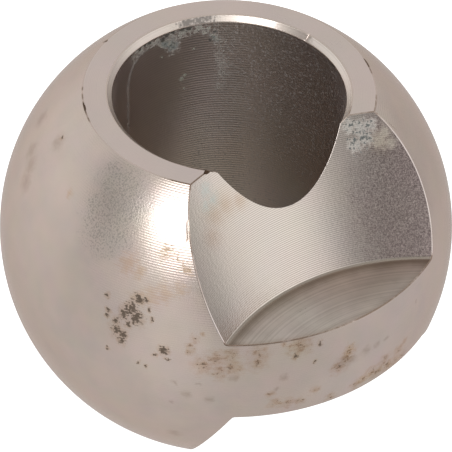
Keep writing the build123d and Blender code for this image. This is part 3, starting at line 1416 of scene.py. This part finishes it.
    def true_normals(self, surface: Surface, points: np.ndarray) -> np.ndarray:
        """Gives the outward direction of a true surface.

        Args:
            surface: The surface.
            points: One row for each point.

        Returns:
            One unit row for each point.
        """
        x, y, z = points.T
        none = np.zeros_like(x)
        up = np.where(z < 0, -1.0, 1.0)
        if surface is Surface.SKIN:
            ways = points.copy()
        elif surface in (Surface.FLAT, Surface.TONGUE_FACE):
            ways = np.stack((none, none, up), 1)
        elif surface is Surface.BORE:
            ways = np.stack((-x, -y, none), 1)
        elif surface is Surface.LEAD_IN:
            lift = np.hypot(x, y) * self.lead_in_growth / self.lead_in_depth
            ways = np.stack((-x, -y, up * lift), 1)
        else:
            turned = self.relief_places(points)
            away = turned[:, :2] - (self.relief_axis, 0.0)
            about = np.hypot(away[:, 0], away[:, 1])
            if surface is Surface.RELIEF_WALL:
                out, lift = about, about * tan(self.relief_slope)
            else:
                out = about - (self.relief_floor_radius - self.fillet_reach)
                lift = self.tongue_half + self.shoulder_fillet - np.abs(z)
            ways = np.column_stack((-away / about[:, None] * out[:, None], up * lift))
            ways = turn_about_z(ways, np.where(z < 0, self.lower_relief_turn, 0.0))
        return ways / np.linalg.norm(ways, axis=1, keepdims=True)

    def _set_true_normals(self, mesh: bpy.types.Mesh) -> None:
        """Shades every face by its true surface, and the edge breaks by their own roundness.

        Args:
            mesh: The ball's mesh.
        """
        mesh.shade_smooth()
        places = read_rows(mesh.vertices, "co")
        owners = read_numbers(mesh.loops, "vertex_index")
        slots = read_numbers(mesh.polygons, "material_index")
        kinds = np.repeat(slots, read_numbers(mesh.polygons, "loop_total"))
        ways = read_rows(mesh.vertices, "normal")[owners]
        for surface in Surface:
            mine = kinds == surface.value
            if surface is not Surface.EDGE and mine.any():
                ways[mine] = self.true_normals(surface, places[owners[mine]])
        mesh.normals_split_custom_set([tuple(way) for way in ways])

    def dress(self, ball: bpy.types.Object, finishes: Sequence[Finish]) -> None:
        """Puts each surface's finish in its slot, and ties the ball to the frame.

        Args:
            ball: The ball's object.
            finishes: One finish for each surface.
        """
        for finish in finishes:
            ball.data.materials[finish.surface.value] = finish.make(self)
        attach(ball, "root")
        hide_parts("swivel_ball")


@dataclass(frozen=True)
class Panel:
    """A soft panel of light in the tent around the ball, seen from the ball's centre, in degrees.

    The bearing starts at the camera and grows towards the camera's right. A negative strength takes
    light away.
    """

    bearing: float
    height: float
    inner: float
    outer: float
    strength: float
    tint: tuple[float, float, float] = (1.0, 1.0, 1.0)

    def direction(self, camera_azimuth: float) -> tuple[float, float, float]:
        """Gives the panel's direction in the frame.

        Args:
            camera_azimuth: The camera's azimuth in degrees.

        Returns:
            The direction from the ball's centre, one unit long.
        """
        turn = radians(camera_azimuth + self.bearing)
        level = cos(radians(self.height))
        return (level * sin(turn), -level * cos(turn), sin(radians(self.height)))


@dataclass
class Studio:
    """The pale floor, the light tent and the camera."""

    camera_azimuth: float = 57.05
    camera_elevation: float = 42.19
    camera_roll: float = 1.44
    camera_distance: float = 0.3956
    focal_pixels: float = 3188.0
    image_pixels: float = 452.0
    sensor_width: float = 36.0
    floor_size: float = 12.0
    floor_tone: float = 0.6
    floor_glow: float = 0.93
    pad_radius: float = 0.017
    pad_points: int = 64
    pad_gap: float = 0.00002
    pad_tone: float = 0.2
    pad_glow: float = 0.22
    matt_roughness: float = 0.9
    tent: tuple[float, float, float] = (0.80, 0.80, 0.80)
    tent_low: tuple[float, float, float] = (0.68, 0.68, 0.68)
    panels: tuple[Panel, ...] = (
        Panel(-27.5, 40.5, 11.5, 21.0, 3.3, (0.98, 1.0, 1.02)),
        Panel(-33.0, 22.0, 3.0, 14.0, 0.35),
        Panel(69.0, 9.0, 6.0, 30.0, 0.42),
        Panel(15.0, 18.0, 12.0, 38.0, -0.42),
        Panel(-79.0, 31.0, 4.0, 18.0, -0.20),
        Panel(-70.0, 20.0, 3.0, 12.0, -0.14),
        Panel(110.0, -4.0, 3.0, 18.0, -0.18),
        Panel(-115.0, -5.0, 8.0, 45.0, 0.13),
        Panel(-25.0, 0.0, 6.0, 28.0, 0.14),
        Panel(153.0, -22.0, 10.0, 50.0, -0.06),
        Panel(130.0, -34.0, 3.0, 14.0, 0.06),
        Panel(-62.0, -50.0, 8.0, 40.0, 0.05),
        Panel(90.0, -40.0, 8.0, 40.0, 0.04, (0.8, 0.9, 1.4)),
        Panel(-25.0, -32.0, 8.0, 26.0, 0.13),
        Panel(132.0, 0.0, 3.0, 14.0, -0.08),
        Panel(-65.0, 8.0, 4.0, 16.0, -0.08),
    )

    def build(self, rest_height: float) -> None:
        """Sets up the floor, the light and the camera.

        Args:
            rest_height: The height of the surface that the ball stands on.
        """
        self._lay_floor(rest_height)
        self._lay_pad(rest_height)
        self._light_tent()
        self._aim_camera()
        bpy.context.scene.view_settings.view_transform = "Standard"

    def _lay_floor(self, rest_height: float) -> None:
        """Lays a pale floor that glows a little, so that it stays bright and its shadows stay soft.

        Args:
            rest_height: The height of the surface that the ball stands on.
        """
        deselect_all()
        height = rest_height - 2 * self.pad_gap
        bpy.ops.mesh.primitive_plane_add(size=self.floor_size, location=(0, 0, height))
        floor = bpy.context.object
        floor.name = "studio_floor"
        floor.visible_glossy = False
        floor.data.materials.append(self._glowing("pale_floor", self.floor_tone, self.floor_glow))

    def _lay_pad(self, rest_height: float) -> None:
        """Lays a grey disc under the ball, which keeps the floor's glow out of the bore.

        Args:
            rest_height: The height of the surface that the ball stands on.
        """
        deselect_all()
        bpy.ops.mesh.primitive_circle_add(
            vertices=self.pad_points,
            radius=self.pad_radius,
            fill_type="NGON",
            location=(0, 0, rest_height - self.pad_gap),
        )
        pad = bpy.context.object
        pad.name = "rest_pad"
        pad.visible_camera = False
        pad.data.materials.append(self._glowing("rest_pad", self.pad_tone, self.pad_glow))

    def _glowing(self, name: str, tone: float, glow: float) -> bpy.types.Material:
        """Makes a matt grey material that glows.

        Args:
            name: The material's name.
            tone: How pale its grey is, from 0 to 1.
            glow: How strongly it glows.

        Returns:
            The material.
        """
        material = bpy.data.materials.new(name)
        material.use_nodes = True
        bench = NodeBench(material.node_tree)
        sockets = {"Base Color": grey(tone), "Roughness": self.matt_roughness}
        sockets |= {"Emission Color": grey(1.0), "Emission Strength": glow}
        shader = bench.node("ShaderNodeBsdfPrincipled", None, sockets)
        bench.node("ShaderNodeOutputMaterial", None, {"Surface": shader})
        return material

    def _light_tent(self) -> None:
        """Hangs a tent of soft light around the ball, with brighter and darker panels in it."""
        world = bpy.data.worlds.new("light_tent")
        world.use_nodes = True
        bpy.context.scene.world = world
        bench = NodeBench(world.node_tree)
        way = bench.node("ShaderNodeTexCoord", output="Generated")
        height = bench.vector("DOT_PRODUCT", way, (0.0, 0.0, 1.0), output="Value")
        light = bench.mix(bench.step(height, -0.5, 0.5), (*self.tent_low, 1.0), (*self.tent, 1.0))
        for panel in self.panels:
            facing = bench.vector("DOT_PRODUCT", way, panel.direction(self.camera_azimuth), output="Value")
            share = bench.step(facing, cos(radians(panel.outer)), cos(radians(panel.inner)))
            glow = tuple(channel * abs(panel.strength) for channel in panel.tint)
            blend = "ADD" if panel.strength > 0 else "SUBTRACT"
            light = bench.mix(share, light, (*glow, 1.0), blend)
        shader = bench.node("ShaderNodeBackground", None, {"Color": light, "Strength": 1.0})
        bench.node("ShaderNodeOutputWorld", None, {"Surface": shader})

    def _aim_camera(self) -> None:
        """Places the camera at the photograph's viewing angle."""
        turn, rise = radians(self.camera_azimuth), radians(self.camera_elevation)
        back = Vector((sin(turn) * cos(rise), -cos(turn) * cos(rise), sin(rise)))
        lens = bpy.data.cameras.new("studio_camera")
        lens.sensor_width = self.sensor_width
        lens.lens = self.focal_pixels / self.image_pixels * self.sensor_width
        camera = bpy.data.objects.new("studio_camera", lens)
        camera.rotation_mode = "QUATERNION"
        camera.location = back * self.camera_distance
        roll = Quaternion((0, 0, 1), radians(self.camera_roll))
        camera.rotation_quaternion = back.to_track_quat("Z", "Y") @ roll
        bpy.context.scene.collection.objects.link(camera)
        bpy.context.scene.camera = camera


def ball_finishes() -> tuple[Finish, ...]:
    """Gives the finishes of all the ball's surfaces.

    Returns:
        One finish for each surface.
    """
    return (
        SkinFinish(
            "turned_skin",
            Surface.SKIN,
            roughness=0.20,
            line_slope=0.105,
            unevenness=0.35,
            line_tone=0.02,
            grain_mm=0.20,
            grain_slope=0.045,
            worn_grain=1.4,
            cloud_mm=3.5,
            cloud_tone=0.12,
            hue_tone=0.10,
        ),
        FlatFinish(
            "faced_flat",
            Surface.FLAT,
            tint=(0.605, 0.515, 0.470, 1.0),
            roughness=0.30,
            pitch_mm=0.2,
            line_slope=0.012,
        ),
        LeadInFinish(
            "lead_in_cut",
            Surface.LEAD_IN,
            tint=(0.78, 0.69, 0.625, 1.0),
            roughness=0.38,
            pitch_mm=0.2,
            line_slope=0.05,
            unevenness=0.7,
            line_tone=0.06,
        ),
        BoreFinish(
            "bored_wall",
            Surface.BORE,
            tint=(0.655, 0.588, 0.555, 1.0),
            roughness=0.38,
            pitch_mm=0.375,
            line_slope=0.17,
            unevenness=0.25,
            line_tone=0.36,
            grain_slope=0.03,
            worn_grain=0.5,
        ),
        WallFinish(
            "relief_wall",
            Surface.RELIEF_WALL,
            tint=(0.597, 0.526, 0.472, 1.0),
            roughness=0.24,
            pitch_mm=0.212,
            line_slope=0.13,
            unevenness=0.15,
            line_tone=0.22,
            grain_slope=0.03,
        ),
        # The shoulder's pale tint makes the lip's painted highlight; its groove tint darkens the rest as
        # painted shade.
        ShoulderFinish(
            "relief_shoulder",
            Surface.SHOULDER,
            tint=(0.78, 0.70, 0.63, 1.0),
            roughness=0.28,
            pitch_mm=0.2,
            line_slope=0.01,
        ),
        TongueFinish(
            "tongue_face",
            Surface.TONGUE_FACE,
            tint=(0.55, 0.487, 0.435, 1.0),
            roughness=0.30,
            pitch_mm=0.3,
            line_slope=0.02,
            unevenness=0.8,
            line_tone=0.03,
        ),
        EdgeFinish("broken_edge", Surface.EDGE, roughness=0.25, pitch_mm=0.3, line_slope=0.005),
    )


def main() -> None:
    """Builds the ball, dresses it and sets up the studio."""
    logging.basicConfig(level=logging.INFO, format="%(name)s: %(message)s")
    ball = SwivelBall.from_frame()
    piece = ball.build()
    ball.dress(piece, ball_finishes())
    LOG.info("%s: %d faces", piece.name, len(piece.data.polygons))
    Studio().build(-ball.half_width)


if __name__ == "__main__":
    main()
